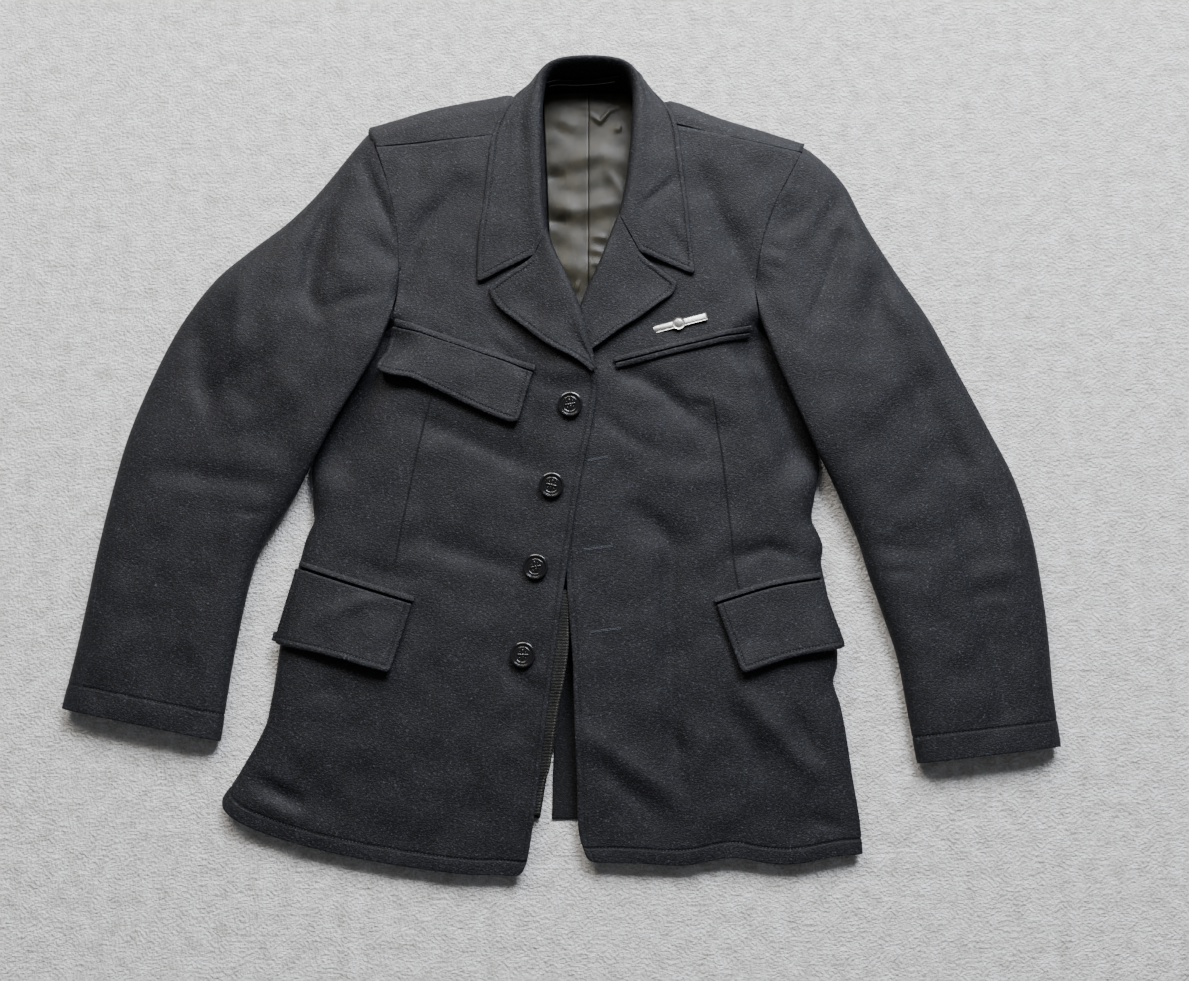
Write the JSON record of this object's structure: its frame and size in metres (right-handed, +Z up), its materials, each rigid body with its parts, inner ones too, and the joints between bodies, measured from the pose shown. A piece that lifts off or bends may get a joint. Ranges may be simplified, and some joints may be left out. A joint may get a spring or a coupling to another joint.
{
  "type": "railway uniform jacket",
  "caption": "Thick wool uniform jacket laid flat on its back: turned collar and lapels, buttoned front, breast and hip flap pockets, open cuffs and hem.",
  "frame": {"origin": "middle of the base of the laid-out jacket, on the surface it lies on", "axes": "+X from the wearer's right cuff to the left cuff, +Y from the hem to the collar, +Z up from the surface"},
  "size_m": [0.9628, 0.8242, 0.0453],
  "materials": {
    "wool": "navy wool melton, matte",
    "satin": "olive grey lining satin",
    "button": "black, glossy",
    "badge": "silvered, satin"
  },
  "bodies": {
    "root": {"back_right": "wool", "back_left": "wool", "front_right": "wool", "front_left": "wool", "top_sleeve_right": "wool", "under_sleeve_right": "wool", "top_sleeve_left": "wool", "under_sleeve_left": "wool", "collar": "wool", "lapel_right": "wool", "lapel_left": "wool", "breast_flap": "wool", "breast_flap_welt": "wool", "breast_welt_upper": "wool", "breast_welt_lower": "wool", "hip_flap_right": "wool", "hip_welt_right": "wool", "hip_flap_left": "wool", "hip_welt_left": "wool", "lining_right": "satin", "lining_left": "satin", "hanging_loop": "satin", "button_1": "button", "button_2": "button", "button_3": "button", "button_4": "button", "badge_bar": "badge"}
  },
  "joints": []
}
